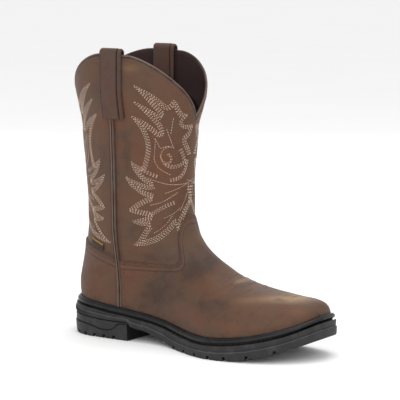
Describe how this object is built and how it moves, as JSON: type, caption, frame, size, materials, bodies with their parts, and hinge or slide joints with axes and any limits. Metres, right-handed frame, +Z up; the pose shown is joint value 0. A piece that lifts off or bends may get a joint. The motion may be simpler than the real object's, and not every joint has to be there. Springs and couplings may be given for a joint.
{
  "type": "western work boot",
  "caption": "Right pull-on western work boot with a scalloped shaft, square toe, pull straps and a low block heel.",
  "frame": {"origin": "on the floor under the middle of the heel's tread", "axes": "+X to the toe, +Y to the inner side of the foot, +Z up the shaft"},
  "size_m": [0.3052, 0.1205, 0.3098],
  "materials": {
    "upper_leather": "oiled, lightly distressed mid brown leather with a soft sheen",
    "strap_leather": "darker brown leather, matte",
    "piping": "grey brown leather piping",
    "tab": "dark plain tab",
    "welt": "black rubber, slightly glossy",
    "sole": "dark grey moulded rubber, matte",
    "footbed": "black fabric-covered foam"
  },
  "bodies": {
    "root": {"upper": "upper_leather", "vamp": "upper_leather", "counter": "upper_leather", "side_tab": "tab", "side_seam_outer": "piping", "side_seam_inner": "piping", "collar_cord": "piping", "pull_strap_outer": "strap_leather", "pull_strap_inner": "strap_leather", "insole": "footbed", "welt": "welt", "outsole": "sole"}
  },
  "joints": []
}
